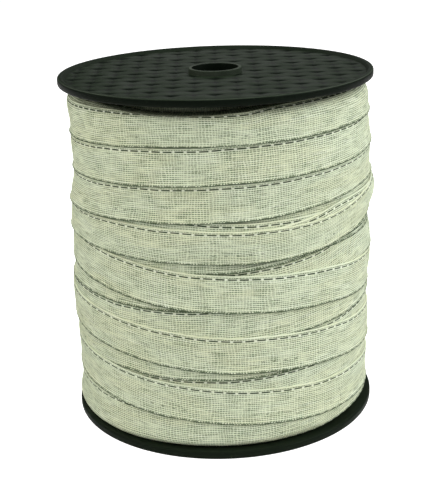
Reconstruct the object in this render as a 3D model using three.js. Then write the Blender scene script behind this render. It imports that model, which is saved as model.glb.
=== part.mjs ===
// Electric fence tape on its spool: white woven tape wound in lapped turns on a black moulded
// plastic spool, which is two flanges pushed onto the ends of a tube.
// Millimetres, +Z up. The origin is the centre of the lower flange's underside, on the floor.

import * as THREE from "three";

// Driving dimensions of the spool
const flangeRadius = 82.5;
const webThickness = 2.4;
const lipHeight = 1.6;
const lipWidth = 2.2;
const rimRound = 0.8;
const flangeSpacing = 177;
const boreRadius = 12;
const collarWall = 2;
const collarHeight = 2.6;
const collarRound = 0.4;
const tubeRadius = 25;
const tubeWall = 2;
const spigotWall = 2;
const spigotLength = 8;

// Driving dimensions of the wound tape
const windingRadius = 80;
const shoulderDepth = 8;
const shoulderHeight = 6;
const turnPitch = 19.2;
const turnStep = 0.7;
const coilPitch = 9;
const coilStep = 0.8;

// Clearance between pieces that touch
const seatGap = 0.3;

// Facets round a turned piece, and along the arc of a shoulder
const facets = 60;
const shoulderFacets = 3;

// Heights and radii that follow from the driving dimensions
const flangeThickness = webThickness + lipHeight;
const lowerInnerFace = flangeThickness;
const upperInnerFace = lowerInnerFace + flangeSpacing;
const spigotRadius = tubeRadius - tubeWall - seatGap;
const collarRadius = boreRadius + collarWall;
const fillHeight = flangeSpacing - 2 * seatGap;

const blackPlastic = { color: 0x1d201d, roughness: 0.45, metalness: 0 };
const whiteTape = { color: 0xdde2d6, roughness: 0.85, metalness: 0 };

// Turns a closed outline of [radius, height] points about the Z axis into a named mesh.
// The outline runs up its outer side, so that the faces point outwards.
function turned(name, outline, finish) {
  const points = [...outline, outline[0]].map(([radius, height]) => new THREE.Vector2(radius, height));
  const geometry = new THREE.LatheGeometry(points, facets).rotateX(Math.PI / 2);
  const mesh = new THREE.Mesh(geometry, new THREE.MeshStandardMaterial(finish));
  mesh.name = name;
  return mesh;
}

// A flange's disc, seen from its inner face at height 0: the spigot that holds the tube hangs
// below, and the raised lip runs round the outer face.
function flangeDisc() {
  return [
    [boreRadius, 0],
    [spigotRadius - spigotWall, 0],
    [spigotRadius - spigotWall, -spigotLength],
    [spigotRadius, -spigotLength],
    [spigotRadius, 0],
    [flangeRadius - rimRound, 0],
    [flangeRadius, rimRound],
    [flangeRadius, flangeThickness - rimRound],
    [flangeRadius - rimRound, flangeThickness],
    [flangeRadius - lipWidth, flangeThickness],
    [flangeRadius - lipWidth - lipHeight, webThickness],
  ];
}

// The raised collar round the bore on the upper flange's outer face.
function boreCollar() {
  const collarTop = webThickness + collarHeight;
  return [
    [collarRadius, webThickness],
    [collarRadius, collarTop - collarRound],
    [collarRadius - collarRound, collarTop],
    [boreRadius, collarTop],
  ];
}

function makeUpperFlange() {
  const flange = turned("upper_flange", [...flangeDisc(), ...boreCollar()], blackPlastic);
  flange.position.z = upperInnerFace;
  return flange;
}

// The lower flange is the same disc turned over, with a plain bore, so that it stands flat.
function makeLowerFlange() {
  const plainBore = [[boreRadius, webThickness]];
  const flange = turned("lower_flange", [...flangeDisc(), ...plainBore], blackPlastic);
  flange.rotation.x = Math.PI;
  flange.position.z = lowerInnerFace;
  return flange;
}

// The tube between the flanges, with the tape wound on it and the spigots in its ends.
function makeCoreTube() {
  const tubeInside = tubeRadius - tubeWall;
  const outline = [
    [tubeInside, 0],
    [tubeRadius, 0],
    [tubeRadius, fillHeight],
    [tubeInside, fillHeight],
  ];
  const tube = turned("core_tube", outline, blackPlastic);
  tube.position.z = lowerInnerFace + seatGap;
  return tube;
}

// The turns on one end of the winding, from the bore outwards: every coil is a ring whose face
// falls back by one step. rise is +1 on the lower end and -1 on the upper end.
function endCoils(innerRadius, outerRadius, face, rise) {
  const count = Math.max(1, Math.round((outerRadius - innerRadius) / coilPitch));
  const pitch = (outerRadius - innerRadius) / count;
  const points = [];
  for (let coil = 0; coil < count; coil++) {
    points.push([innerRadius + coil * pitch, face]);
    points.push([innerRadius + (coil + 1) * pitch, face + rise * coilStep]);
  }
  points.push([outerRadius, face]);
  return points;
}

// The rounded edge between an end and the outer face: a quarter of an ellipse, from the end.
function shoulder(face, rise) {
  const points = [];
  for (let step = 1; step < shoulderFacets; step++) {
    const angle = (Math.PI / 2) * (step / shoulderFacets);
    const radius = windingRadius - shoulderDepth * (1 - Math.sin(angle));
    points.push([radius, face + rise * shoulderHeight * (1 - Math.cos(angle))]);
  }
  return points;
}

// The outer face, going up: each turn leans in by one step towards its upper edge, where the
// lower edge of the next turn laps over it.
function lappedTurns(bottom, top) {
  const count = Math.max(1, Math.round((top - bottom) / turnPitch));
  const pitch = (top - bottom) / count;
  const points = [];
  for (let turn = 0; turn < count; turn++) {
    points.push([windingRadius, bottom + turn * pitch]);
    points.push([windingRadius - turnStep, bottom + (turn + 1) * pitch]);
  }
  return points;
}

// All the tape on the spool as one solid round the tube.
function makeTapeWinding() {
  const bore = tubeRadius + seatGap;
  const endEdge = windingRadius - shoulderDepth;
  const outline = [
    ...endCoils(bore, endEdge, 0, 1),
    ...shoulder(0, 1),
    ...lappedTurns(shoulderHeight, fillHeight - shoulderHeight),
    ...shoulder(fillHeight, -1).reverse(),
    ...endCoils(bore, endEdge, fillHeight, -1).reverse(),
  ];
  const winding = turned("tape_winding", outline, whiteTape);
  winding.position.z = lowerInnerFace + seatGap;
  return winding;
}

const fenceTape = new THREE.Group();
fenceTape.add(makeLowerFlange(), makeCoreTube(), makeTapeWinding(), makeUpperFlange());

export default fenceTape;
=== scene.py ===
# %% [markdown]
# # Electric fence tape on its spool
#
# The object is a black moulded spool: two round flanges on the ends of a hidden tube. A white
# woven tape, 20 mm wide, is wound on it in lapped turns. A few thin steel wires run along the
# tape and show as rows of dark dashes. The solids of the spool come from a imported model, whose
# nodes are the frame that everything here is fitted to. This lesson makes the surfaces: the
# turns of the tape one by one, the wires, the relief on the flanges, and a finish for each.

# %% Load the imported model
import math

import bpy
import numpy as np
from mathutils import Matrix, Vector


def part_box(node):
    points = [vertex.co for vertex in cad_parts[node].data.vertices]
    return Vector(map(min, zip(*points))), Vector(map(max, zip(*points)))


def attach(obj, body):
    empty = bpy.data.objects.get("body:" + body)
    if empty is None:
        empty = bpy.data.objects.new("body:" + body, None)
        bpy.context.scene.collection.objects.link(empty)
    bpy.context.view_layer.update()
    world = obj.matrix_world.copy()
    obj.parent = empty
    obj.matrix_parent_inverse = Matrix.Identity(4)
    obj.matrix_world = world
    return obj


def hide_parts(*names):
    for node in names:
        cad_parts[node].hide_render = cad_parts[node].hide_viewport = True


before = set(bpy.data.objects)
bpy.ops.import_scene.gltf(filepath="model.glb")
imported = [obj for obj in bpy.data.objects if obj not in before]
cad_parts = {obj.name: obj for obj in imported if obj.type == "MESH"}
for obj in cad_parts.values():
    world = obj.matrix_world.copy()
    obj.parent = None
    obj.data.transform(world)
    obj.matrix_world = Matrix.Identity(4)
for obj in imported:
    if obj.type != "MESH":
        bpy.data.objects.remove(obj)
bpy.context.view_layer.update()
print("nodes:", sorted(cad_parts))

# %% [markdown]
# ## The camera
#
# The camera could be placed by eye. It is better found from the two rims: both are circles of
# known size, and their outlines in the picture fix the distance, the height, the downward
# pitch, the slight roll and the focal length. The frame is 442 x 500 pixels, so the long side,
# which Blender gives the sensor width, is the height.

# %% Camera
CAMERA_PLACE = (0.0, -0.58915, 0.28440)
CAMERA_LENS = 80.96
CAMERA_PITCH = math.radians(18.74)
CAMERA_ROLL = math.radians(1.885)

camera_data = bpy.data.cameras.new("photo_camera")
camera_data.lens = CAMERA_LENS
camera_data.sensor_width = 36.0
camera_data.clip_start = 0.01
camera = bpy.data.objects.new("photo_camera", camera_data)
camera.matrix_world = (
    Matrix.Translation(CAMERA_PLACE)
    @ Matrix.Rotation(math.pi / 2 - CAMERA_PITCH, 4, "X")
    @ Matrix.Rotation(-CAMERA_ROLL, 4, "Z")
)
bpy.context.scene.collection.objects.link(camera)
bpy.context.scene.camera = camera
print("camera at", CAMERA_PLACE, "lens", CAMERA_LENS)

# %% [markdown]
# ## Sizes
#
# The places and the outer sizes are read from the frame, so the surfaces stay on the solids.
# The tape's own sizes are those of the real product: 19.3 mm wide on the spool, about half a
# millimetre thick, with nineteen threads side by side.

# %% Sizes of the spool and of the tape
MM = 0.001

winding_low, winding_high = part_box("tape_winding")
upper_low, upper_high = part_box("upper_flange")
lower_low, lower_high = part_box("lower_flange")

SEAT_GAP = 0.3 * MM
FLANGE_RADIUS = upper_high.x
LOWER_FACE = winding_low.z - SEAT_GAP
UPPER_FACE = winding_high.z + SEAT_GAP
COLLAR_TOP = upper_high.z - UPPER_FACE
SPIGOT_DEPTH = UPPER_FACE - upper_low.z

TAPE_WIDTH = 19.3 * MM
TAPE_THICKNESS = 0.45 * MM
THREADS = 19
THREAD_PITCH = TAPE_WIDTH / THREADS
FILLING_DEPTH = 1.4 * MM
CORE_RADIUS = winding_high.x - FILLING_DEPTH
print("flange radius", round(FLANGE_RADIUS, 4), "faces", round(LOWER_FACE, 4), round(UPPER_FACE, 4))

# %% [markdown]
# ## Helpers for meshes
#
# All new surfaces are grids of points. A grid is worked out as whole arrays, and one helper
# turns it into quads. A second helper makes the Blender object, with its place in its mesh.

# %% Grid helpers
def grid_quads(rows, columns, rows_close=False, columns_close=False):
    """Corner numbers of the quads of a grid of points that is stored row by row.

    A face looks to the side that its corners go round counter-clockwise from. Where that is
    the inside of a piece, the caller turns the order of the corners round.
    """
    row = np.arange(rows if rows_close else rows - 1)
    column = np.arange(columns if columns_close else columns - 1)
    r, c = np.meshgrid(row, column, indexing="ij")
    r_next, c_next = (r + 1) % rows, (c + 1) % columns
    corners = [r * columns + c, r * columns + c_next, r_next * columns + c_next, r_next * columns + c]
    return np.stack(corners, -1).reshape(-1, 4)


def add_mesh(name, points, faces, sharp_degrees=None):
    """A smooth shaded object at the origin, from an (n, 3) array and a list of faces."""
    mesh = bpy.data.meshes.new(name)
    mesh.from_pydata(points.reshape(-1, 3).tolist(), [], faces)
    mesh.shade_smooth()
    if sharp_degrees is not None:
        mesh.set_sharp_from_angle(angle=math.radians(sharp_degrees))
    mesh.update()
    thing = bpy.data.objects.new(name, mesh)
    bpy.context.scene.collection.objects.link(thing)
    print(name, len(mesh.vertices), "points", len(mesh.polygons), "faces")
    return thing


def add_point_values(thing, name, values):
    """Stores one number for each point of a mesh, for its material to read."""
    layer = thing.data.attributes.new(name, "FLOAT", "POINT")
    layer.data.foreach_set("value", np.ascontiguousarray(values, dtype=np.float32).ravel())


def smooth_step(x):
    """0 below 0, 1 above 1, and an even S curve between."""
    x = np.clip(x, 0.0, 1.0)
    return x * x * (3.0 - 2.0 * x)


# %% [markdown]
# ## The winding's skin
#
# Under the visible turns lies a thick roll of tape. Its side is straight, and it rounds off to
# both flanges. A place on it is given by the angle round the spool, in degrees from the front
# with plus to the right, and by the distance along the skin from below. On the straight side
# that distance is the height. Two parameters are enough for every turn, and a turn that runs
# over a shoulder bends inwards by itself. At the front, the top of the winding sags by a few
# millimetres, and the dark gap under the upper flange comes from that.

# %% Skin of the winding
BOTTOM_BEND = 4.0 * MM
TOP_BEND = 8.0 * MM
BOTTOM_END = winding_low.z + 1.2 * MM
TOP_END = winding_high.z - 1.6 * MM
SKIN_MARGIN = 0.05 * MM
SAG = 5.0 * MM
SAG_AT = -15.0
SAG_SPREAD = 40.0
SAG_SQUEEZE = 0.25
FOLDED_IN = 12.0 * MM

STRAIGHT_FROM = BOTTOM_END + BOTTOM_BEND
STRAIGHT_TO = TOP_END - TOP_BEND
SKIN_START = STRAIGHT_FROM - BOTTOM_BEND * math.pi / 2 - FOLDED_IN
SKIN_END = STRAIGHT_TO + TOP_BEND * math.pi / 2 + FOLDED_IN


def skin_point(degrees, distance, height):
    """Places on the winding, as x, y and z.

    The profile is a straight side between two quarter circles that end on flat faces: past the
    straight part by a length a, the direction has turned by a over the bend's radius. height
    is measured outwards, at right angles to that profile. For the sag, what lies above a knee
    is squeezed towards it, and the knee's depth is a bell curve of the angle.
    """
    above = np.maximum(distance - STRAIGHT_TO, 0.0)
    below = np.maximum(STRAIGHT_FROM - distance, 0.0)
    bend = np.where(above > 0.0, TOP_BEND, BOTTOM_BEND)
    turned = np.minimum((above + below) / bend, math.pi / 2)
    flat = (above + below) - turned * bend
    side = np.where(above > 0.0, 1.0, -1.0)
    radius = CORE_RADIUS - bend * (1.0 - np.cos(turned)) - flat + height * np.cos(turned)
    z = np.clip(distance, STRAIGHT_FROM, STRAIGHT_TO) + side * (bend + height) * np.sin(turned)
    z = np.clip(z, winding_low.z + SKIN_MARGIN, winding_high.z - SKIN_MARGIN)
    knee = winding_high.z - SAG * np.exp(-(((degrees - SAG_AT) / SAG_SPREAD) ** 2))
    z = np.where(z > knee, knee + (z - knee) * SAG_SQUEEZE, z)
    angle = np.radians(degrees)
    return np.stack(np.broadcast_arrays(radius * np.sin(angle), -radius * np.cos(angle), z), -1)


print("skin from", round(SKIN_START, 4), "to", round(SKIN_END, 4))

# %% [markdown]
# ## The lie of the turns
#
# Each full turn of tape has a route: the height of its lower edge at a few angles, chosen from
# the picture. The tape climbs the spool in eleven turns, each lapping over the one below. Where
# it came down again it left four steeper turns on the lower half. One level turn lies in the
# middle, where its edge shows at the right, and a hidden one fills in near the top.
# The back continues these turns smoothly, so that each turn ends where the next begins.

# %% Routes of the turns
# (degrees, millimetres) of the lower edge. The last value is where the next turn starts.
RISING = [
    [(-180, 4.6), (180, 14)],
    [(-180, 14), (-35, 24.2), (-10, 23.9), (15, 24.5), (30, 25.6), (180, 33.5)],
    [(-180, 33.5), (-45, 43.3), (-20, 42.6), (0, 42.8), (20, 43.4), (37, 44.5), (60, 46.6), (180, 52.5)],
    [(-180, 52.5), (-65, 60.7), (-40, 60.2), (-20, 60.5), (0, 61.5), (28, 63.4), (50, 64.9), (70, 65.7),
     (180, 72)],
    [(-180, 72), (-65, 79.7), (-40, 79.2), (-20, 78.9), (3, 80.4), (20, 82.2), (40, 85.3), (52, 89),
     (62, 90.2), (180, 90)],
    [(-180, 90), (-40, 96), (-10, 98.5), (10, 99.6), (30, 102.4), (50, 106.8), (62, 107.6), (180, 107.5)],
    [(-180, 107.5), (-60, 105.7), (-40, 104.9), (0, 103.4), (20, 103.4), (40, 105.4), (50, 107.4),
     (60, 108.6), (85, 112.5), (180, 116)],
    [(-180, 116), (-62, 121.8), (-40, 123.1), (0, 124.8), (20, 125.7), (40, 127.3), (57, 129.3),
     (180, 134.5)],
    [(-180, 134.5), (-62, 139.2), (-40, 140.6), (0, 143.2), (20, 143.9), (60, 146.3), (180, 153)],
    [(-180, 153), (-62, 157.7), (-40, 159.5), (-20, 161.1), (0, 161.8), (60, 163.3), (180, 165)],
    [(-180, 165), (-140, 171), (-100, 187), (180, 190)],
]
FALLING = [
    [(-180, 107), (120, 107), (180, 100)],
    [(-180, 100), (-60, 87.3), (-40, 84.4), (-20, 80.8), (0, 78.8), (40, 75.0), (60, 72.1), (180, 66)],
    [(-180, 66), (-68, 55), (-40, 51.8), (0, 46.6), (20, 45), (40, 43.3), (60, 40.8), (180, 34)],
    [(-180, 34), (-56, 25.4), (-40, 23.6), (0, 18.5), (20, 16.3), (40, 14.3), (60, 13), (180, 5)],
    [(-180, 5), (-60, 5.5), (0, 4), (30, 5), (60, 8.5), (180, 5)],
]
LEVEL = [[(-180, 107.6), (-10, 106.6), (0, 105.6), (20, 104.3), (40, 104.4), (60, 105), (180, 107.6)]]
HIDDEN = [[(-180, 166), (0, 166), (180, 166)]]
ROUTES = {"rising": RISING, "falling": FALLING, "level": LEVEL, "hidden": HIDDEN}

# Height of the wire row of the four top turns, which lie a little gathered: the tape is pulled
# narrower there. On every other turn the row keeps its place on the flat tape.
WIRE_ROWS = {
    ("rising", 6): [(-180, 124.9), (-62, 120.2), (-40, 120.7), (-20, 120.1), (0, 118.8), (30, 118.6),
                    (40, 119.4), (50, 120.5), (70, 124.5), (90, 129), (180, 133.4)],
    ("rising", 7): [(-180, 133.4), (-62, 137.3), (-40, 139.1), (0, 141.4), (40, 143.1), (180, 151.9)],
    ("rising", 8): [(-180, 151.9), (-62, 155.5), (-40, 157.8), (0, 160.1), (60, 162.4), (180, 170.4)],
    ("rising", 9): [(-180, 170.4), (-62, 174.8), (-40, 175.9), (-25, 176.3), (0, 175.6), (10, 175.9),
                    (20, 177.7), (60, 179.1), (180, 182.4)],
}

# The order in which the turns lie on each other, from the lowest, as (tape, turn).
STACK = (
    [("hidden", 0)]
    + [("rising", turn) for turn in range(5)]
    + [("level", 0), ("falling", 0), ("rising", 5)]
    + [("falling", turn) for turn in (4, 3, 2, 1)]
    + [("rising", turn) for turn in range(6, 11)]
)
print(len(STACK), "turns")

# %% [markdown]
# A route through a few points could be straight from one to the next, but a tape under tension
# has no corners. Between two points a cubic curve is used that keeps the slope at each point. A
# little wander is added, because no turn lies perfectly true.

# %% Lower edge of a turn
WANDER = 0.12 * MM
WIRE_PLACE = 17.4 * MM


def through_points(degrees, points):
    """A smooth curve: cubic pieces whose slope at a point is the mean of the slopes beside it."""
    x, y = np.array(points, float).T
    slopes = np.diff(y) / np.diff(x)
    ends = np.concatenate([slopes[:1], (slopes[1:] + slopes[:-1]) / 2, slopes[-1:]])
    piece = np.clip(np.searchsorted(x, degrees, side="right") - 1, 0, len(x) - 2)
    span = (x[1:] - x[:-1])[piece]
    t = (degrees - x[piece]) / span
    start, end = y[piece], y[piece + 1]
    rise_start, rise_end = ends[piece] * span, ends[piece + 1] * span
    return (
        (2 * t**3 - 3 * t**2 + 1) * start
        + (t**3 - 2 * t**2 + t) * rise_start
        + (3 * t**2 - 2 * t**3) * end
        + (t**3 - t**2) * rise_end
    )


def lower_edge(tape, turn, degrees):
    """Distance up the skin of a turn's lower edge, with three slow waves as its wander."""
    edge = through_points(degrees, ROUTES[tape][turn]) * MM
    angle = np.radians(degrees)
    phase = 2.4 * turn + len(tape)
    waves = np.sin(5 * angle + phase)
    waves += 0.7 * np.sin(11 * angle + 2 * phase)
    waves += 0.5 * np.sin(23 * angle + 5 * phase)
    return edge + WANDER * waves * np.cos(angle / 2)


def tape_spread(tape, turn, degrees):
    """How far the tape is spread: edge to wire row, over that distance on the flat tape."""
    if (tape, turn) not in WIRE_ROWS:
        return np.ones_like(degrees)
    row = through_points(degrees, WIRE_ROWS[tape, turn]) * MM
    return (row - through_points(degrees, ROUTES[tape][turn]) * MM) / WIRE_PLACE


# %% [markdown]
# ## Draping
#
# A real tape lies on what was wound before it, so the turns are laid one after the other on a
# map of heights over the whole skin. Under each new turn the map is first raised to its high
# spots and blurred, because a tape under tension bridges small steps, and then it grows by the
# tape's thickness. Cloth simulation could do this too, but eighteen tight turns would slide,
# and their places are known. Some broad swells stand for the uneven filling below.

# %% Height map of the winding
MAP_COLUMNS = 720
MAP_STEP = 0.4 * MM
map_degrees = np.arange(MAP_COLUMNS) * (360.0 / MAP_COLUMNS) - 180.0
map_distance = np.arange(SKIN_START, SKIN_END, MAP_STEP)

# (degrees, height, spread in degrees, spread in height, swell), lengths in millimetres.
SWELLS = [
    (0, 118, 45, 6, 0.7),
    (-5, 102, 45, 6, -0.8),
    (-90, 162, 50, 12, -1.8),
    (-90, 137, 50, 8, -1.9),
    (-90, 58, 45, 20, 1.3),
    (-90, 71, 45, 7, 1.3),
    (-90, 7, 45, 5, 2.6),
    (85, 146, 50, 12, 2.0),
    (88, 122, 14, 6, 3.8),
    (92, 110, 15, 4, -3.2),
    (90, 100, 25, 4, 1.0),
    (90, 90, 35, 9, 2.4),
    (90, 47, 40, 13, 1.0),
    (90, 22, 40, 6, -0.7),
    (180, 95, 45, 20, 0.8),
    (-150, 40, 35, 15, 0.6),
]
UNEVEN = 0.12 * MM


def filling():
    """Bell shaped swells, and a weave of slow waves for small unevenness."""
    degrees, distance = map_degrees[None, :], map_distance[:, None] / MM
    heights = np.zeros((len(map_distance), MAP_COLUMNS))
    for at, level, wide, tall, swell in SWELLS:
        off = (degrees - at + 180.0) % 360.0 - 180.0
        heights += swell * MM * np.exp(-0.5 * (off / wide) ** 2 - 0.5 * ((distance - level) / tall) ** 2)
    angle = np.radians(degrees)
    for times, wave, phase in [(7, 31, 0.3), (13, 23, 1.9), (19, 17, 4.1), (31, 11, 2.2), (43, 9, 5.0)]:
        around = np.sin(times * angle + phase)
        upwards = np.sin(2 * math.pi * distance / wave + 2 * phase)
        heights += UNEVEN * around * upwards / 2
    return heights


def blurred(heights, distance_spread, degree_spread):
    """The map averaged with a bell curve, by damping its waves. It wraps round the spool."""
    rows = np.fft.fftfreq(heights.shape[0], MAP_STEP)[:, None]
    columns = np.fft.rfftfreq(heights.shape[1], 360.0 / MAP_COLUMNS)[None, :]
    damping = np.exp(-2 * math.pi**2 * ((rows * distance_spread) ** 2 + (columns * degree_spread) ** 2))
    return np.fft.irfft2(np.fft.rfft2(heights) * damping, heights.shape)


def read_map(heights, degrees, distance):
    """The map between its points, by weighing the four nearest."""
    column = (degrees + 180.0) * (MAP_COLUMNS / 360.0)
    row = np.clip((distance - SKIN_START) / MAP_STEP, 0, len(map_distance) - 1.001)
    c, r = np.floor(column).astype(int), np.floor(row).astype(int)
    fc, fr = column - c, row - r
    c, c_next = c % MAP_COLUMNS, (c + 1) % MAP_COLUMNS
    low = heights[r, c] * (1 - fc) + heights[r, c_next] * fc
    high = heights[r + 1, c] * (1 - fc) + heights[r + 1, c_next] * fc
    return low * (1 - fr) + high * fr


print("map", len(map_distance), "x", MAP_COLUMNS)

# %% [markdown]
# Across the tape, the surface has a form of its own. The lower edge stands a little off, since
# the tape is tighter in its middle, and casts a little shadow; the dark line under each turn is
# also painted shade in the tape's colour. Where a later turn lies on the edge it is pressed flat,
# or it would poke through. Both edges are bound in a slightly thicker cord, the threads make
# ribs, and the wire lies in a shallow groove.

# %% Form across the tape
EDGE_LIFT = 0.5 * MM
EDGE_LIFT_REACH = 1.3 * MM
PRESSED_REACH = 0.6 * MM
CORD_WIDTH = 0.7 * MM
CORD_SWELL = 0.10 * MM
RIB_HEIGHT = 0.11 * MM
GROOVE_WIDTH = 0.45 * MM
GROOVE_DEPTH = 0.14 * MM


def lift_across(across):
    """How far a free edge stands off: a bell curve at the lower edge."""
    return EDGE_LIFT * np.exp(-((across / EDGE_LIFT_REACH) ** 2))


def free_edge(tape, turn):
    """1 where a turn's lower edge is free and 0 where a later turn presses on it."""
    order = STACK.index((tape, turn))
    edge = lower_edge(tape, turn, map_degrees)
    free = np.ones_like(edge)
    for other in STACK[order + 1:]:
        above = edge - lower_edge(*other, map_degrees)
        width = TAPE_WIDTH * tape_spread(*other, map_degrees)
        below_it = smooth_step(-above / PRESSED_REACH)
        past_it = smooth_step((above - width) / PRESSED_REACH)
        free = np.minimum(free, below_it + past_it)
    return free


def relief_across(across):
    """Ribs as a cosine of the thread pitch, a half round cord on each edge, and the groove."""
    ribs = RIB_HEIGHT * (0.5 - 0.5 * np.cos(2 * math.pi * across / THREAD_PITCH))
    from_edge = np.minimum(across, TAPE_WIDTH - across)
    off_cord = (from_edge - CORD_WIDTH / 2) / (CORD_WIDTH / 2)
    cord = CORD_SWELL * np.sqrt(np.clip(1.0 - off_cord**2, 0.0, 1.0))
    groove = GROOVE_DEPTH * np.exp(-(((across - WIRE_PLACE) / GROOVE_WIDTH) ** 2))
    return ribs + cord - groove


# %% [markdown]
# Now the turns are laid, from the lowest to the topmost. Each keeps the bed that it lies on, and
# how free its lower edge is, because its own surface is made from these afterwards.

# %% Lay the turns
BRIDGED_ROWS = 3
BRIDGE_ACROSS = 1.5 * MM
BRIDGE_ALONG = 3.0

beds, free_edges = {}, {}
heights = filling()
filled = heights.copy()
for tape, turn in STACK:
    reach = range(-BRIDGED_ROWS, BRIDGED_ROWS + 1)
    raised = np.maximum.reduce([np.roll(heights, shift, axis=0) for shift in reach])
    bed = blurred((raised + heights) / 2, BRIDGE_ACROSS, BRIDGE_ALONG)
    beds[tape, turn] = bed
    edge = lower_edge(tape, turn, map_degrees)
    spread = tape_spread(tape, turn, map_degrees)
    across = (map_distance[:, None] - edge[None, :]) / spread[None, :]
    starts = 120.0 if (tape, turn) == ("falling", 0) else -180.0
    covered = (across >= 0) & (across <= TAPE_WIDTH) & (map_degrees[None, :] >= starts)
    free_edges[tape, turn] = free_edge(tape, turn)
    lift = lift_across(across) * free_edges[tape, turn][None, :]
    heights = np.where(covered, bed + TAPE_THICKNESS + lift, heights)
# The top of everything, which tells the wires where they are covered.
laid = heights
print("height over the core", round(heights.min() / MM, 2), "to", round(heights.max() / MM, 2), "mm")

# %% [markdown]
# ## The tape's surface
#
# A length of tape is a closed, thin solid: an outer skin with the ribs, and an inner skin that
# lies on the bed below. Where one turn passes into the next at the back, the two beds differ by
# a layer, so the difference is shared out over a stretch on both sides.

# %% Surface of a length of tape
SEAM_DEGREES = 35.0


def tape_places(tape, travel, across):
    """Distance up the skin and height of the inner skin, for each travel (rows) and across
    (columns). The height is the bed's, with the lift of the free edge.

    travel is the angle in degrees since the start of the tape's first turn, at the back.
    """
    last = len(ROUTES[tape]) - 1
    turn = np.clip((travel // 360).astype(int), 0, last)
    degrees = travel - 360.0 * turn - 180.0
    distance = np.empty((len(travel), len(across)))
    bed = np.empty_like(distance)
    for number in range(last + 1):
        mine = turn == number
        if not mine.any():
            continue
        there = degrees[mine]
        spread = tape_spread(tape, number, there)[:, None]
        distance[mine] = lower_edge(tape, number, there)[:, None] + across[None, :] * spread
        bed[mine] = read_map(beds[tape, number], there[:, None], distance[mine])
        for other, side in ((number - 1, -1.0), (number + 1, 1.0)):
            if not 0 <= other <= last:
                continue
            seam = np.array([180.0 * side])
            seam_edge = lower_edge(tape, number, seam)[:, None] + across[None, :]
            here = read_map(beds[tape, number], seam[:, None], seam_edge)
            beyond = read_map(beds[tape, other], -seam[:, None], seam_edge)
            share = smooth_step(1.0 - np.abs(there - 180.0 * side) / SEAM_DEGREES)[:, None]
            bed[mine] += share * (beyond - here) / 2
        free = np.interp(there, map_degrees, free_edges[tape, number], period=360.0)
        bed[mine] += lift_across(across)[None, :] * free[:, None]
    return degrees, distance, bed


COLUMNS_PER_TURN = 240
RIB_SAMPLES = 4
outer_across = np.linspace(0.0, TAPE_WIDTH, THREADS * RIB_SAMPLES + 1)
inner_across = np.linspace(TAPE_WIDTH, 0.0, 4)


def tape_length(name, tape, start, end, columns=COLUMNS_PER_TURN, closed=False):
    """A length of tape from travel start to end, as a closed solid with point values.

    Its loop runs up the outer skin and back down the inner one, and it is carried along the
    travel. The values along and across are the place on the flat tape, in millimetres.
    """
    count = round((end - start) / 360.0 * columns)
    travel = np.linspace(start, end, count if closed else count + 1, endpoint=not closed)
    loop_across = np.concatenate([outer_across, inner_across])
    outside = np.arange(len(loop_across)) < len(outer_across)
    degrees, distance, bed = tape_places(tape, travel, loop_across)
    skin = np.where(outside, TAPE_THICKNESS + relief_across(loop_across), 0.0)
    points = skin_point(degrees[:, None], distance, bed + skin)
    quads = grid_quads(len(travel), len(loop_across), rows_close=closed, columns_close=True)
    faces = quads[:, ::-1].tolist()
    if not closed:
        loop = list(range(len(loop_across)))
        base = (len(travel) - 1) * len(loop_across)
        faces += [loop, [base + corner for corner in loop[::-1]]]
    thing = add_mesh(name, points, faces)
    along = np.radians(travel) * CORE_RADIUS / MM
    add_point_values(thing, "along", np.repeat(along, len(loop_across)))
    add_point_values(thing, "across", np.tile(loop_across / MM, len(travel)))
    return thing


turns_under = tape_length("turns_under", "rising", 0.0, 360.0 * 6, columns=200)
turns_upper = tape_length("turns_upper", "rising", 360.0 * 6, 360.0 * 10 + 90.0)
turns_lower = tape_length("turns_lower", "falling", 300.0, 360.0 * 5)
turn_level = tape_length("turn_level", "level", 0.0, 360.0, closed=True)
turn_hidden = tape_length("turn_hidden", "hidden", 0.0, 360.0, closed=True)
tape_pieces = [turns_under, turns_upper, turns_lower, turn_level, turn_hidden]

# %% [markdown]
# ## The wires
#
# The steel wire near the upper edge is woven in: it runs on top of the threads for 4.6 mm and
# dives under a weft bundle for 1.3 mm. It could be painted as dashes, but a real thin tube
# catches the light and keeps its form in close views; the shade along it is painted on the tape.
# The tube follows the same surface as the tape, and it dives below the skin at each bundle and
# wherever another turn lies on top.

# %% Wires of the tape
STITCH_LENGTH = 5.9 * MM
DASH_SHARE = 0.78
WIRE_RADIUS = 0.18 * MM
WIRE_SIDES = 5
WIRE_RAISED = 0.12 * MM
WIRE_SUNK = 0.5 * MM
COVER_STEP = 0.2 * MM
# Places of the tube's rings in one stitch, as shares of its length.
WIRE_STEPS = np.array([0.0, 0.05, 0.39, 0.73, 0.78, 0.89])
STITCH_ANGLE = math.degrees(STITCH_LENGTH / CORE_RADIUS)


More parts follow.
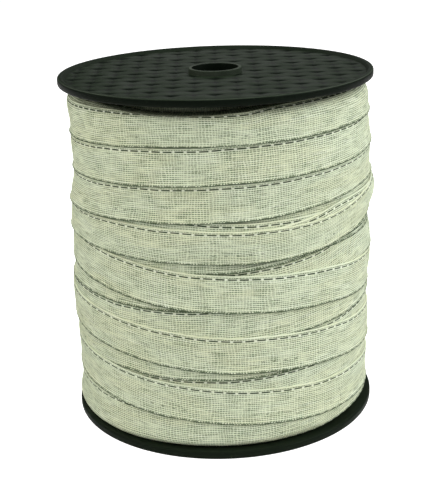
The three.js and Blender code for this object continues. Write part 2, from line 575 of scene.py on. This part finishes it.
def wire_length(name, tape, start, end, place):
    """The wire along a tape: a tube whose axis is the outer skin, sunk between the dashes."""
    first, last = math.ceil(start / STITCH_ANGLE), math.floor(end / STITCH_ANGLE)
    stitches = np.arange(first, last)[:, None] + WIRE_STEPS[None, :]
    travel = stitches.ravel() * STITCH_ANGLE
    share = np.tile(WIRE_STEPS, last - first)
    shown = (share > 0.02) & (share < DASH_SHARE - 0.02)
    across = np.array([place])
    degrees, distance, bed = tape_places(tape, travel, across)
    surface = bed[:, 0] + TAPE_THICKNESS + relief_across(across)[0]
    covered = read_map(laid, degrees, distance[:, 0]) > surface + COVER_STEP
    axis = surface + np.where(shown & ~covered, WIRE_RAISED, -WIRE_SUNK)
    around = np.arange(WIRE_SIDES) * (2 * math.pi / WIRE_SIDES)
    up = distance[:, :1] + WIRE_RADIUS * np.sin(around)[None, :]
    out = axis[:, None] + WIRE_RADIUS * np.cos(around)[None, :]
    points = skin_point(degrees[:, None], up, out)
    faces = grid_quads(len(travel), WIRE_SIDES, columns_close=True)[:, ::-1].tolist()
    base = (len(travel) - 1) * WIRE_SIDES
    faces += [list(range(WIRE_SIDES)), [base + side for side in range(WIRE_SIDES)][::-1]]
    return add_mesh(name, points, faces)


wire_pieces = [
    wire_length("wire_under", "rising", 0.0, 360.0 * 6, WIRE_PLACE),
    wire_length("wire_upper", "rising", 360.0 * 6, 360.0 * 10 + 90.0, WIRE_PLACE),
    wire_length("wire_lower", "falling", 300.0, 360.0 * 5, WIRE_PLACE),
    wire_length("wire_level", "level", 0.0, 360.0, WIRE_PLACE),
]

# %% [markdown]
# ## The roll below
#
# Under the turns is the rest of the tape. Only a little of it could ever show, at the shoulders
# and between turns, so one turned solid is enough: its side is the winding's skin, and its two
# ends carry the rings of the coiled tape, stepped like the turns of a wound roll.

# %% Roll of tape under the turns
ROLL_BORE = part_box("core_tube")[1].x + SEAT_GAP
ROLL_COLUMNS = 180
RING_PITCH = 3.0 * MM
RING_DEPTH = 0.35 * MM


def roll_of_tape():
    """A closed loop of radius and height, turned round the axis: side, top end, bore, bottom."""
    side_start = STRAIGHT_FROM - BOTTOM_BEND * math.pi / 2
    side = np.linspace(side_start, STRAIGHT_TO + TOP_BEND * math.pi / 2, 70)
    degrees = np.arange(ROLL_COLUMNS) * (360.0 / ROLL_COLUMNS) - 180.0
    skin = skin_point(degrees[None, :], side[:, None], read_map(filled, degrees[None, :], side[:, None]))
    face_radius = np.linspace(CORE_RADIUS - TOP_BEND - 1.0 * MM, ROLL_BORE, 60)
    rings = RING_DEPTH * (0.5 - 0.5 * np.cos(2 * math.pi * face_radius / RING_PITCH))
    top = np.stack([face_radius, TOP_END - rings], -1)
    bottom = np.stack([face_radius[::-1], BOTTOM_END + rings[::-1]], -1)
    loop = np.concatenate([top, bottom])
    angle = np.radians(degrees)
    turned = np.stack(
        np.broadcast_arrays(
            loop[:, :1] * np.sin(angle)[None, :], -loop[:, :1] * np.cos(angle)[None, :], loop[:, 1:]
        ),
        -1,
    )
    points = np.concatenate([skin, turned])
    faces = grid_quads(len(points), ROLL_COLUMNS, rows_close=True, columns_close=True).tolist()
    thing = add_mesh("tape_roll", points, faces, sharp_degrees=60)
    along = np.tile(angle * CORE_RADIUS / MM, len(points))
    lengthwise = np.concatenate([side, TOP_END + face_radius, TOP_END + face_radius[::-1]]) / MM
    add_point_values(thing, "along", along)
    add_point_values(thing, "across", np.repeat(lengthwise % (TAPE_WIDTH / MM), ROLL_COLUMNS))
    return thing


tape_pieces.append(roll_of_tape())

# %% [markdown]
# ## The flanges
#
# Each flange is one moulding: a disc with a raised lip, a collar round the bore and a spigot
# that holds the tube. Its outer face has a basket-weave relief, which is part of the mould, so
# it is real shape here too and no bump. The lip, the collar and the bore repeat the sizes of
# the imported solids, with rounder edges. The moulding is a surface of revolution: a closed
# profile of straight lines and arcs, turned round the axis, with the relief added to the height
# of the rows on the outer face. Between crossing strands the mould leaves small pits. Each
# point also keeps how far it stands up, and on the faces without relief a level, and the finish
# paints from it: the high spots paler, as wear and painted sheen, the rim's edge with a painted
# highlight line, the collar paler, and the lower flange's side paler, as painted light from above.

# %% Basket-weave relief
STRAND_PITCH = 10.5 * MM
STRAND_CROWN = 0.3 * MM
STRAND_RISE = 0.3 * MM
PIT_DEPTH = 0.6 * MM
PIT_LENGTH = 3.4 * MM
PIT_WIDTH = 1.4 * MM


def basket_weave(x, y):
    """Height of two sets of crossing strands, each over and under the other in turn.

    A strand along x has a crown across itself, the sine of y, and rises and falls along itself
    as the sine of x, with the sign changed from strand to strand. The higher set shows. At
    every second crossing, where strands dive under, lies a lens shaped pit.
    """
    u, v = math.pi * x / STRAND_PITCH, math.pi * y / STRAND_PITCH
    su, sv = np.sin(u), np.sin(v)
    along_x = STRAND_CROWN * np.abs(sv) ** 0.6 + STRAND_RISE * su * np.sign(sv)
    along_y = STRAND_CROWN * np.abs(su) ** 0.6 - STRAND_RISE * sv * np.sign(su)
    a, b = np.round((x + y) / STRAND_PITCH / 2), np.round((x - y) / STRAND_PITCH / 2)
    off_x, off_y = x - (a + b) * STRAND_PITCH, y - (a - b) * STRAND_PITCH
    pit = np.exp(-((off_x / PIT_LENGTH) ** 2) - (off_y / PIT_WIDTH) ** 2)
    return np.maximum(along_x, along_y) - PIT_DEPTH * pit


# %% Flange moulding
WEB = 2.4 * MM
LIP_TOP = 4.0 * MM
LIP_WIDTH = 2.2 * MM
RIM_BEND = 1.0 * MM
EDGE_BEND = 0.35 * MM
COLLAR_RADIUS = 14.0 * MM
BORE_RADIUS = 12.0 * MM
SPIGOT_OUT = 22.7 * MM
SPIGOT_IN = 20.7 * MM
RELIEF_CLEAR = 1.6 * MM
RELIEF_START = 0.3
EDGE_BAND = 0.5 * MM
ON_FACE = 0.05 * MM
FLANGE_COLUMNS = 480
FACE_ROWS = 62


def arc(centre_r, centre_z, radius, start, end, steps=5):
    """Points of an arc in the profile, from start to end degrees."""
    angle = np.radians(np.linspace(start, end, steps))
    return [(centre_r + radius * math.cos(a), centre_z + radius * math.sin(a)) for a in angle]


def flange_profile(collar_top):
    """The moulding's closed profile above its inner face: spigot, rim, lip, web, collar, bore."""
    lip_inner = FLANGE_RADIUS - LIP_WIDTH
    lip_foot = lip_inner - (LIP_TOP - WEB)
    profile = arc(SPIGOT_IN + EDGE_BEND, -SPIGOT_DEPTH + EDGE_BEND, EDGE_BEND, 180, 270)
    profile += arc(SPIGOT_OUT - EDGE_BEND, -SPIGOT_DEPTH + EDGE_BEND, EDGE_BEND, 270, 360)
    profile += [(SPIGOT_OUT, 0.0)]
    profile += [(radius, 0.0) for radius in np.linspace(SPIGOT_OUT, FLANGE_RADIUS - RIM_BEND, 6)[1:-1]]
    profile += arc(FLANGE_RADIUS - RIM_BEND, RIM_BEND, RIM_BEND, -90, 0)
    profile += arc(FLANGE_RADIUS - RIM_BEND, LIP_TOP - RIM_BEND, RIM_BEND, 0, 90)
    profile += arc(lip_inner, LIP_TOP - EDGE_BEND, EDGE_BEND, 90, 135, 3)
    profile += [(lip_foot, WEB)]
    face_start = len(profile)
    face_end = COLLAR_RADIUS if collar_top > WEB else BORE_RADIUS + EDGE_BEND
    profile += [(radius, WEB) for radius in np.linspace(lip_foot, face_end, FACE_ROWS)[1:]]
    face_stop = len(profile) - 1
    bore_edge = arc(BORE_RADIUS + EDGE_BEND, collar_top - EDGE_BEND, EDGE_BEND, 90, 180)
    if collar_top > WEB:
        profile += arc(COLLAR_RADIUS - EDGE_BEND, collar_top - EDGE_BEND, EDGE_BEND, 0, 90)
        profile += bore_edge
    else:
        profile += bore_edge[1:]
    profile += [(BORE_RADIUS, 0.0), (SPIGOT_IN, 0.0)]
    return np.array(profile), face_start, face_stop


def flange(name, face_height, up, collar_top):
    """The profile turned round the axis, with up +1 or -1 for the way its outer face looks.

    The point value relief is the height over the web, in strand rises, and on the other faces
    a level for each: high on the rim's edge, for a painted highlight line, and on the collar; low
    on the side, and less low on the lower flange, whose side is painted paler for the light it
    catches from above.
    """
    profile, face_start, face_stop = flange_profile(collar_top)
    angle = np.arange(FLANGE_COLUMNS) * (2 * math.pi / FLANGE_COLUMNS)
    radius, rise = profile[:, :1], profile[:, 1:]
    x, y = radius * np.cos(angle), radius * np.sin(angle)
    row = np.arange(len(profile))[:, None]
    lip_foot = profile[face_start - 1, 0]
    inner_edge = profile[face_stop, 0]
    clear = np.minimum(lip_foot - radius, radius - inner_edge) / RELIEF_CLEAR
    shows = smooth_step(clear - RELIEF_START) * ((row >= face_start) & (row < face_stop))
    z = rise + shows * (basket_weave(x, up * y) - STRAND_CROWN)
    points = np.stack([x, y, face_height + up * z], -1)
    quads = grid_quads(len(profile), FLANGE_COLUMNS, rows_close=True, columns_close=True)
    faces = (quads if up > 0 else quads[:, ::-1]).tolist()
    thing = add_mesh(name, points, faces, sharp_degrees=40)
    relief = (z - rise) / STRAND_RISE
    rim_start = FLANGE_RADIUS - RIM_BEND
    on_edge = (rise > LIP_TOP - EDGE_BAND) & (rise < LIP_TOP - ON_FACE) & (radius > rim_start)
    lip = (row < face_start) & (rise > WEB - ON_FACE) & (radius < rim_start + 2 * ON_FACE)
    inner_face = (row < face_start) & (np.abs(rise) < ON_FACE)
    collar = (row >= face_start) & (radius > BORE_RADIUS + 0.3 * MM)
    # Painted light: level 1.5 paints a pale highlight line on the rim's edge, and the lower flange's side
    # is painted paler for the light from above.
    side_level = -0.8 if up > 0 else -0.1
    level = np.select([on_edge, collar, lip | inner_face], [1.5, 1.5, 0.1], side_level)
    add_point_values(thing, "relief", np.where(shows > 0, relief, level))
    return thing


top_flange = flange("top_flange", UPPER_FACE, 1.0, COLLAR_TOP)
base_flange = flange("base_flange", LOWER_FACE, -1.0, WEB)

# %% [markdown]
# ## Shader helpers
#
# Materials are small networks. A few helpers keep them short: one adds a node of a given kind
# with its settings and inputs, another adds a sum, product or other step of arithmetic. Each
# pattern is a node group with named inputs and outputs, and the plastic's serves two materials.

# %% Shader helpers
def connect(tree, source, target):
    """Links a socket to an input, or writes a plain value into it."""
    if isinstance(source, bpy.types.NodeSocket):
        tree.links.new(source, target)
    else:
        target.default_value = source


def set_inputs(tree, node, **inputs):
    """Links or sets a node's inputs by name, with underscores for spaces."""
    for name, value in inputs.items():
        connect(tree, value, node.inputs[name.replace("_", " ")])
    return node


def add_node(tree, kind, settings=None, **inputs):
    """A node with its settings and its inputs."""
    node = tree.nodes.new(kind)
    for name, value in (settings or {}).items():
        setattr(node, name, value)
    return set_inputs(tree, node, **inputs)


def calc(tree, operation, *values):
    """One step of arithmetic, and its result."""
    node = tree.nodes.new("ShaderNodeMath")
    node.operation = operation
    for target, value in zip(node.inputs, values):
        connect(tree, value, target)
    return node.outputs[0]


def ramp(tree, value, low, high, out_low=0.0, out_high=1.0):
    """value taken from low..high to out_low..out_high with soft ends."""
    node = tree.nodes.new("ShaderNodeMapRange")
    node.interpolation_type = "SMOOTHSTEP"
    names = ("Value", "From Min", "From Max", "To Min", "To Max")
    for name, number in zip(names, (value, low, high, out_low, out_high)):
        connect(tree, number, node.inputs[name])
    return node.outputs["Result"]


def mix_colours(tree, share, first, second):
    """Two colours mixed by share."""
    node = tree.nodes.new("ShaderNodeMix")
    node.data_type = "RGBA"
    connect(tree, share, node.inputs[0])
    connect(tree, first, node.inputs[6])
    connect(tree, second, node.inputs[7])
    return node.outputs[2]


def noise(tree, vector, scale, detail=2.0, roughness=0.5):
    """Smooth noise from 0 to 1."""
    inputs = {"Vector": vector, "Scale": scale, "Detail": detail, "Roughness": roughness}
    return add_node(tree, "ShaderNodeTexNoise", **inputs).outputs["Fac"]


def place(tree, x=0.0, y=0.0, z=0.0):
    """A vector from three numbers."""
    return add_node(tree, "ShaderNodeCombineXYZ", X=x, Y=y, Z=z).outputs[0]


def new_group(name, inputs, outputs):
    """A node group with (name, kind, value) inputs and (name, kind) outputs."""
    tree = bpy.data.node_groups.new(name, "ShaderNodeTree")
    for label, kind, value in inputs:
        socket = tree.interface.new_socket(label, in_out="INPUT", socket_type=kind)
        if value is not None:
            socket.default_value = value
    for label, kind in outputs:
        tree.interface.new_socket(label, in_out="OUTPUT", socket_type=kind)
    return tree, tree.nodes.new("NodeGroupInput"), tree.nodes.new("NodeGroupOutput")


def new_material(name):
    """A material with an empty network but for its output and a Principled shader."""
    material = bpy.data.materials.new(name)
    material.use_nodes = True
    tree = material.node_tree
    tree.nodes.clear()
    shader = tree.nodes.new("ShaderNodeBsdfPrincipled")
    output = tree.nodes.new("ShaderNodeOutputMaterial")
    tree.links.new(shader.outputs[0], output.inputs[0])
    return material, tree, shader


# %% [markdown]
# ## The weave
#
# The tape is an open weave of flat white threads. Nineteen warp threads run along it, 1 mm
# apart, and thin wefts cross them about every 1.4 mm, pushed closer in some places than in
# others. The small gaps between them are painted dark, as painted shade, and some rows of
# threads are thinner, with more of that painted shade between them, and some are whiter than the
# rest. A picture of the weave would blur and repeat. The pattern is worked out from the place on
# the flat tape instead, in millimetres, so it follows every turn.

# %% Weave group and its helpers
FLOAT, COLOUR = "NodeSocketFloat", "NodeSocketColor"

weave, weave_in, weave_out = new_group(
    "open_weave",
    [
        ("Along", FLOAT, 0.0),
        ("Across", FLOAT, 0.0),
        ("Light thread", COLOUR, None),
        ("Warm thread", COLOUR, None),
        ("Gap shade", COLOUR, None),
        ("Dark wire and painted shade", COLOUR, None),
        ("Stitch", COLOUR, None),
    ],
    [("Colour", COLOUR), ("Height", FLOAT)],
)
along, across = weave_in.outputs["Along"], weave_in.outputs["Across"]
bright_thread = weave_in.outputs["Stitch"]


def times(value, factor, plus=None):
    """value times factor in the weave group, and plus something where that is given."""
    if plus is None:
        return calc(weave, "MULTIPLY", value, factor)
    return calc(weave, "MULTIPLY_ADD", value, factor, plus)


def band(value, low, high, out_low=0.0, out_high=1.0):
    """The soft ramp, in the weave group."""
    return ramp(weave, value, low, high, out_low, out_high)


def streaks(along_scale, across_scale, detail=2.0, roughness=0.5):
    """Noise with its own number of lumps for a millimetre along the tape and across it."""
    stretched = place(weave, times(along, along_scale), times(across, across_scale))
    return noise(weave, stretched, 1.0, detail, roughness)


def distance_from(level):
    """How far a place is from a line along the tape."""
    return calc(weave, "ABSOLUTE", calc(weave, "SUBTRACT", across, level))


print("weave inputs", [socket.name for socket in weave_in.outputs if socket.name])

# %% Threads and gaps
WEFT_PITCH = 1.4
WEFT_DRIFT = 18.0
WEFT_JITTER = 5.0

warp_turn = times(across, 2 * math.pi * MM / THREAD_PITCH)
warp_crown = times(calc(weave, "COSINE", warp_turn), -0.5, 0.5)

shift = times(streaks(0.13, 0.05), WEFT_DRIFT, times(streaks(0.45, 0.7), WEFT_JITTER))
weft_turn = times(along, 2 * math.pi / WEFT_PITCH, shift)
weft_crown = times(calc(weave, "COSINE", weft_turn), 0.5, 0.5)
weft_line = band(weft_crown, 0.5, 0.95)

openness = band(streaks(0.09, 0.16), 0.36, 0.60, 0.55, 1.0)
# Painted shade: the gaps between the threads are mixed towards the dark gap colour.
gap_rows = band(calc(weave, "SUBTRACT", 1.0, warp_crown), 0.2, 0.9)
gaps = times(times(gap_rows, times(weft_line, -0.7, 1.0)), openness)

streak = streaks(0.11, 1.5, 3.0, 0.6)
thin_threads = times(band(streak, 0.48, 0.66), times(weft_line, -0.5, 1.0))
shade = times(thin_threads, 0.5, times(gaps, 0.9))

from_upper = calc(weave, "SUBTRACT", TAPE_WIDTH / MM, across)
from_edges = calc(weave, "MINIMUM", across, from_upper)
shade = times(shade, band(from_edges, 0.3, 0.8))
print("weft every", WEFT_PITCH, "mm")

# %% Colour of the threads
tone = band(streaks(0.02, 0.08, 1.0), 0.4, 0.6)
thread = mix_colours(weave, tone, weave_in.outputs["Light thread"], weave_in.outputs["Warm thread"])
whiter = times(band(streaks(0.05, 1.1, 3.0), 0.45, 0.7), times(weft_line, 0.25, 0.35))
thread = mix_colours(weave, whiter, thread, bright_thread)
woven = mix_colours(weave, shade, thread, weave_in.outputs["Gap shade"])
print("threads coloured")

# %% [markdown]
# Three dark details lie over the threads. Along the wire row the tape is painted dark in
# dashes, as painted shade of the groove where the wire lies on top, with a whiter bridge of
# thread between two dashes. A second wire is buried deeper and shows faintly, in some stretches
# only. Along the lower edge runs a band of painted shade, for the shadow under the edge, with
# small teeth where the loops of the bound edge stand out from it.

# %% Wire rows and the painted shade of the edge
SECOND_ROW = 5.5
TOOTH_PITCH = 1.45

stitch = calc(weave, "FRACT", calc(weave, "DIVIDE", along, STITCH_LENGTH / MM))
dash = times(band(stitch, 0.0, 0.04), band(stitch, DASH_SHARE, DASH_SHARE - 0.04))
off_wire = distance_from(WIRE_PLACE / MM)
# Painted shade: dark dashes along the wire row, for the shade of its groove.
wire_row_shade = times(dash, band(off_wire, 0.45, 0.2))
bridge = times(calc(weave, "SUBTRACT", 1.0, dash), band(off_wire, 0.6, 0.3))

second_dash = times(band(stitch, 0.30, 0.34), band(stitch, 0.62, 0.58))
second_patch = band(noise(weave, place(weave, times(along, 0.025), 7.0), 1.0, 1.0), 0.5, 0.62)
second_row = times(times(second_dash, second_patch), band(distance_from(SECOND_ROW), 0.4, 0.2))

bead = times(calc(weave, "SINE", times(along, 2 * math.pi / TOOTH_PITCH)), 0.5, 0.5)
long_bead = times(band(stitch, 0.12, 0.2), band(stitch, 0.64, 0.56))
teeth = calc(weave, "MAXIMUM", long_bead, band(bead, 0.3, 0.7))
tooth_height = times(teeth, 0.30, 0.46)
# Painted shade: a dark band with teeth along the lower edge, for the shadow under it.
painted_edge_shade = band(calc(weave, "DIVIDE", across, tooth_height), 1.2, 0.75, 0.0, 0.95)

dark = calc(weave, "MAXIMUM", wire_row_shade, times(second_row, 0.6))
dark = calc(weave, "MAXIMUM", dark, painted_edge_shade)
woven = mix_colours(weave, times(bridge, 0.7), woven, bright_thread)
woven = mix_colours(weave, dark, woven, weave_in.outputs["Dark wire and painted shade"])

height = times(streak, 0.3, times(weft_line, 0.35, times(warp_crown, 0.35)))
weave.links.new(woven, weave_out.inputs["Colour"])
weave.links.new(height, weave_out.inputs["Height"])
print("weave group", len(weave.nodes), "nodes")

# %% Tape material
TAPE_COLOURS = {
    "Light thread": (0.72, 0.78, 0.58, 1.0),
    "Warm thread": (0.73, 0.77, 0.55, 1.0),
    "Stitch": (0.86, 0.90, 0.76, 1.0),
    # painted shade in the gaps between the threads
    "Gap shade": (0.11, 0.155, 0.075, 1.0),
    # painted shade of the wire row and of the lower edge, and the buried wire
    "Dark wire and painted shade": (0.04, 0.07, 0.03, 1.0),
}

tape_material, tree, shader = new_material("woven_tape")
pattern = add_node(tree, "ShaderNodeGroup", {"node_tree": weave})
for label in ("Along", "Across"):
    source = add_node(tree, "ShaderNodeAttribute", {"attribute_name": label.lower()})
    tree.links.new(source.outputs["Fac"], pattern.inputs[label])
for label, colour in TAPE_COLOURS.items():
    pattern.inputs[label].default_value = colour
threads = pattern.outputs
bump = add_node(tree, "ShaderNodeBump", Strength=0.6, Distance=0.25 * MM, Height=threads["Height"])
set_inputs(tree, shader, Base_Color=threads["Colour"], Normal=bump.outputs[0])
set_inputs(tree, shader, Roughness=0.8, Specular_IOR_Level=0.25)
print("material", tape_material.name)

# %% [markdown]
# ## Steel and plastic
#
# The wire is thin stainless steel that has gone dull. The flanges are black moulded plastic: a
# skin with a very fine grain, a faint paler green-grey on the raised relief, partly wear where
# hands and other spools have rubbed it and partly a painted sheen, a painted highlight line on
# the rim's edge, and rare light specks of dust. The effects share one group. It works on object
# coordinates, because the spool is rigid, and on the relief value that each flange keeps with its
# points.

# %% Wire material
DARK_STEEL = (0.022, 0.036, 0.016, 1.0)
LIGHT_STEEL = (0.05, 0.07, 0.04, 1.0)

wire_material, tree, shader = new_material("dull_steel")
coordinates = tree.nodes.new("ShaderNodeTexCoord").outputs["Object"]
tarnish = noise(tree, coordinates, 900.0, 3.0)
set_inputs(tree, shader, Base_Color=mix_colours(tree, tarnish, DARK_STEEL, LIGHT_STEEL))
set_inputs(tree, shader, Roughness=ramp(tree, tarnish, 0.2, 0.8, 0.4, 0.65))
set_inputs(tree, shader, Metallic=0.2, Specular_IOR_Level=0.2)
print("material", wire_material.name)

# %% Moulded plastic
moulded, moulded_in, moulded_out = new_group(
    "moulded_skin",
    [
        ("Position", "NodeSocketVector", None),
        ("Relief", FLOAT, 0.0),
        ("Skin", COLOUR, None),
        ("Worn", COLOUR, None),
        ("Dust", COLOUR, None),
    ],
    [("Colour", COLOUR), ("Roughness", FLOAT), ("Height", FLOAT)],
)
position = moulded_in.outputs["Position"]
cloud = noise(moulded, position, 60.0, 3.0)
grain = noise(moulded, position, 2600.0, 2.0)
scuffs = ramp(moulded, noise(moulded, position, 240.0, 4.0, 0.7), 0.55, 0.75)
specks = add_node(moulded, "ShaderNodeTexVoronoi", Vector=position, Scale=260.0).outputs["Distance"]
rare = ramp(moulded, noise(moulded, position, 45.0, 1.0), 0.74, 0.78)
speck = calc(moulded, "MULTIPLY", ramp(moulded, specks, 0.16, 0.08), rare)
# Painted sheen and wear: the raised relief is mixed towards the lighter colour, so the crowns read paler
# and the pits darkest.
raised = ramp(moulded, moulded_in.outputs["Relief"], -0.6, 0.7, 0.0, 0.85)
wear_and_sheen = calc(moulded, "MULTIPLY_ADD", scuffs, 0.15, raised)
skin = mix_colours(moulded, wear_and_sheen, moulded_in.outputs["Skin"], moulded_in.outputs["Worn"])
# Painted highlight: where the relief value passes 1.1, on the rim's edge and the collar, the pale colour
# is mixed in; on the rim's edge this is a painted highlight line.
rub_and_highlight = ramp(moulded, moulded_in.outputs["Relief"], 1.1, 1.5, 0.0, 0.09)
rub_and_highlight = calc(moulded, "MULTIPLY", rub_and_highlight, ramp(moulded, cloud, 0.3, 0.7, 0.5, 1.2))
skin = mix_colours(moulded, rub_and_highlight, skin, moulded_in.outputs["Dust"])
skin = mix_colours(moulded, calc(moulded, "MULTIPLY", speck, 0.8), skin, moulded_in.outputs["Dust"])
gloss = calc(moulded, "MULTIPLY_ADD", scuffs, 0.1, ramp(moulded, cloud, 0.3, 0.7, 0.40, 0.50))
moulded.links.new(skin, moulded_out.inputs["Colour"])
moulded.links.new(gloss, moulded_out.inputs["Roughness"])
moulded.links.new(grain, moulded_out.inputs["Height"])
print("moulded group", len(moulded.nodes), "nodes")

# %% Black plastics
FLANGE_SKIN = (0.003, 0.005, 0.003, 1.0)
# The lighter colour is for wear and painted sheen; the pale one for dust specks and the painted highlight
# on the rim's edge.
FLANGE_WEAR_AND_SHEEN = (0.014, 0.022, 0.012, 1.0)
FLANGE_DUST_AND_HIGHLIGHT = (0.30, 0.33, 0.28, 1.0)
TUBE_SKIN = (0.008, 0.010, 0.008, 1.0)
TUBE_WORN = (0.018, 0.02, 0.018, 1.0)
TUBE_DUST = (0.2, 0.2, 0.2, 1.0)
GREEN_GLINT = (0.85, 1.0, 0.82, 1.0)


def plastic(name, skin_colour, wear_and_sheen_colour, dust_and_highlight_colour):
    """Black plastic with the shared moulded skin."""
    material, tree, shader = new_material(name)
    pattern = add_node(tree, "ShaderNodeGroup", {"node_tree": moulded})
    on_piece = tree.nodes.new("ShaderNodeTexCoord").outputs["Object"]
    relief = add_node(tree, "ShaderNodeAttribute", {"attribute_name": "relief"}).outputs["Fac"]
    set_inputs(tree, pattern, Position=on_piece, Relief=relief)
    set_inputs(tree, pattern, Skin=skin_colour, Worn=wear_and_sheen_colour, Dust=dust_and_highlight_colour)
    moulding = pattern.outputs
    bump = add_node(tree, "ShaderNodeBump", Strength=0.25, Distance=0.05 * MM, Height=moulding["Height"])
    set_inputs(tree, shader, Base_Color=moulding["Colour"], Roughness=moulding["Roughness"])
    set_inputs(tree, shader, Normal=bump.outputs[0], Specular_IOR_Level=0.06, Specular_Tint=GREEN_GLINT)
    return material


flange_material = plastic("flange_plastic", FLANGE_SKIN, FLANGE_WEAR_AND_SHEEN, FLANGE_DUST_AND_HIGHLIGHT)
tube_material = plastic("tube_plastic", TUBE_SKIN, TUBE_WORN, TUBE_DUST)
print("materials", [m.name for m in (tape_material, wire_material, flange_material, tube_material)])

# %% [markdown]
# ## Putting it together
#
# Each piece takes its material and rides on the one body of the model, and the imported solid
# that it stands for is hidden. The tube keeps its imported mesh, because it is hidden, and only
# gets its plastic.

# %% Materials and bodies
for piece in tape_pieces + wire_pieces:
    piece.data.materials.append(wire_material if piece in wire_pieces else tape_material)
    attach(piece, "root")
    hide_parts("tape_winding")

for piece, node in ((top_flange, "upper_flange"), (base_flange, "lower_flange")):
    piece.data.materials.append(flange_material)
    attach(piece, "root")
    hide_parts(node)

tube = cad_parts["core_tube"]
tube.data.materials.clear()
tube.data.materials.append(tube_material)
print(len(tape_pieces) + len(wire_pieces) + 2, "pieces made")

# %% [markdown]
# ## Floor and light
#
# The picture has a plain white ground and soft light from both sides, a little stronger and
# whiter from the right. The sky is white to the camera but nearly dark to the surfaces, so that
# the black plastic doesn't mirror a white room, and the floor is brighter to the camera than to
# the spool for the same reason. Large soft lamps do the rest. Three of them stand behind, so
# that the relief on the upper flange catches a low light.

# %% Floor
FLOOR_SIZE = 6.0
FLOOR_GLOW = 0.15
FLOOR_GLOW_SEEN = 0.75

half = FLOOR_SIZE / 2
corners = np.array([(-half, -half, 0), (half, -half, 0), (half, half, 0), (-half, half, 0)], float)
floor = add_mesh("floor", corners, [[0, 1, 2, 3]])
floor_material, tree, shader = new_material("pale_floor")
set_inputs(tree, shader, Base_Color=(0.9, 0.9, 0.9, 1), Roughness=0.9, Specular_IOR_Level=0.1)
camera_ray = tree.nodes.new("ShaderNodeLightPath").outputs["Is Camera Ray"]
glow = calc(tree, "MULTIPLY_ADD", camera_ray, FLOOR_GLOW_SEEN, FLOOR_GLOW)
set_inputs(tree, shader, Emission_Color=(1, 1, 1, 1), Emission_Strength=glow)
floor.data.materials.append(floor_material)

# %% Lamps
AIM = (0.0, 0.0, 0.09)


def soft_lamp(name, azimuth, elevation, distance, size, watts, colour):
    """A square lamp that looks at the spool. Azimuth 0 is the camera's side, plus is right."""
    data = bpy.data.lights.new(name, "AREA")
    data.size = size
    data.energy = watts
    data.color = colour
    lamp = bpy.data.objects.new(name, data)
    a, e = math.radians(azimuth), math.radians(elevation)
    lamp.matrix_world = (
        Matrix.Translation(AIM)
        @ Matrix.Rotation(a, 4, "Z")
        @ Matrix.Rotation(math.pi / 2 - e, 4, "X")
        @ Matrix.Translation((0, 0, distance))
    )
    bpy.context.scene.collection.objects.link(lamp)
    return lamp


soft_lamp("right_lamp", 76, 40, 1.5, 1.0, 17.0, (0.98, 1.0, 1.0))
soft_lamp("left_lamp", -72, 40, 1.5, 1.0, 10.5, (1.0, 0.99, 0.92))
soft_lamp("front_lamp", 5, 50, 1.8, 1.0, 5.0, (1.0, 0.99, 0.95))
soft_lamp("top_lamp", 0, 80, 1.5, 0.7, 7.0, (1.0, 1.0, 0.98))
soft_lamp("low_back_lamp", 178, 22, 1.7, 0.6, 0.6, (1.0, 1.0, 1.0))
soft_lamp("right_back_lamp", 138, 38, 1.7, 0.9, 3.2, (1.0, 1.0, 1.0))
soft_lamp("left_back_lamp", -138, 38, 1.7, 0.9, 2.4, (1.0, 1.0, 0.97))

# %% Sky and view
world = bpy.data.worlds.new("white_room")
bpy.context.scene.world = world
world.use_nodes = True
tree = world.node_tree
tree.nodes.clear()
grey = add_node(tree, "ShaderNodeBackground", Color=(1, 1, 1, 1), Strength=0.045)
white = add_node(tree, "ShaderNodeBackground", Color=(1, 1, 1, 1), Strength=1.0)
seen = tree.nodes.new("ShaderNodeLightPath").outputs["Is Camera Ray"]
blend = tree.nodes.new("ShaderNodeMixShader")
tree.links.new(seen, blend.inputs[0])
tree.links.new(grey.outputs[0], blend.inputs[1])
tree.links.new(white.outputs[0], blend.inputs[2])
tree.links.new(blend.outputs[0], tree.nodes.new("ShaderNodeOutputWorld").inputs[0])

view = bpy.context.scene.view_settings
view.view_transform = "Standard"
view.look = "None"
view.exposure = 0.0
view.gamma = 1.0
print("view", view.view_transform)
